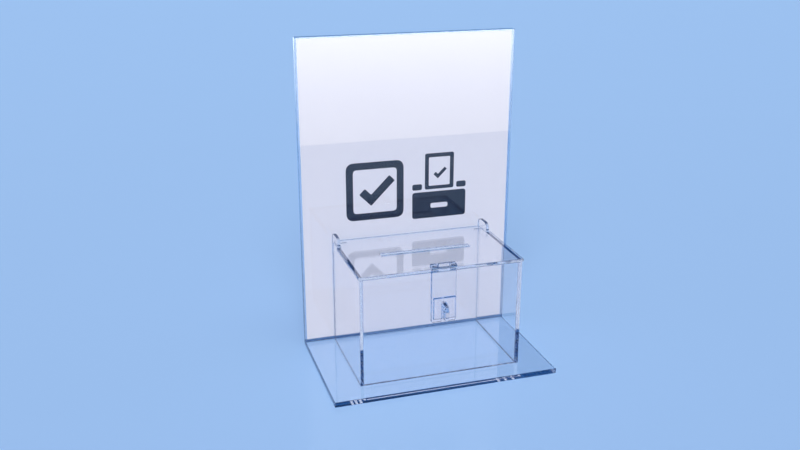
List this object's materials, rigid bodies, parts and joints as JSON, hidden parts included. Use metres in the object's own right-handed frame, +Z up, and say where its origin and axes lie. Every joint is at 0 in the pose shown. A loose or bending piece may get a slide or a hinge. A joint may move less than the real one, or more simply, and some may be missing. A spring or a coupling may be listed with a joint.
{
  "type": "ballot box",
  "caption": "Clear acrylic counter-top ballot box with a hinged slotted lid, a hasp over a padlock tab, and an upright poster holder behind it on a shared base plate.",
  "frame": {"origin": "middle of the base plate's footprint, on its underside", "axes": "+Z up, +X to the right and +Y to the back as seen from the front"},
  "size_m": [0.214, 0.131, 0.306],
  "materials": {
    "clear_acrylic": "clear, with polished edges",
    "printed_insert": "matt white card with a dark blue print",
    "pin_steel": "bright drawn wire"
  },
  "bodies": {
    "stand": {"base_plate": "clear_acrylic", "holder_front": "clear_acrylic", "holder_back": "clear_acrylic", "strip_left": "clear_acrylic", "strip_right": "clear_acrylic", "strip_bottom": "clear_acrylic", "box_front": "clear_acrylic", "box_back": "clear_acrylic", "box_left": "clear_acrylic", "box_right": "clear_acrylic", "lid_pin_left": "pin_steel", "lid_pin_right": "pin_steel", "staple_tab": "clear_acrylic"},
    "lid": {"lid_panel": "clear_acrylic", "hasp_lug_left": "clear_acrylic", "hasp_lug_right": "clear_acrylic", "hasp_pin": "pin_steel"},
    "hasp": {"hasp_plate": "clear_acrylic", "hasp_pad": "clear_acrylic"},
    "insert": {"poster_sheet": "printed_insert"}
  },
  "joints": [
    {"name": "lid_hinge", "type": "hinge", "parent": "stand", "child": "lid", "pos_m": [0, 0.0475, 0.1098], "axis": [-1, 0, 0], "range_deg": [0, 90]},
    {"name": "hasp_hinge", "type": "hinge", "parent": "lid", "child": "hasp", "pos_m": [0, -0.046, 0.1131], "axis": [-1, 0, 0], "range_deg": [0, 90]},
    {"name": "insert_slide", "type": "slide", "parent": "stand", "child": "insert", "axis": [0, 0, 1], "range_m": [0, 0.3]}
  ]
}
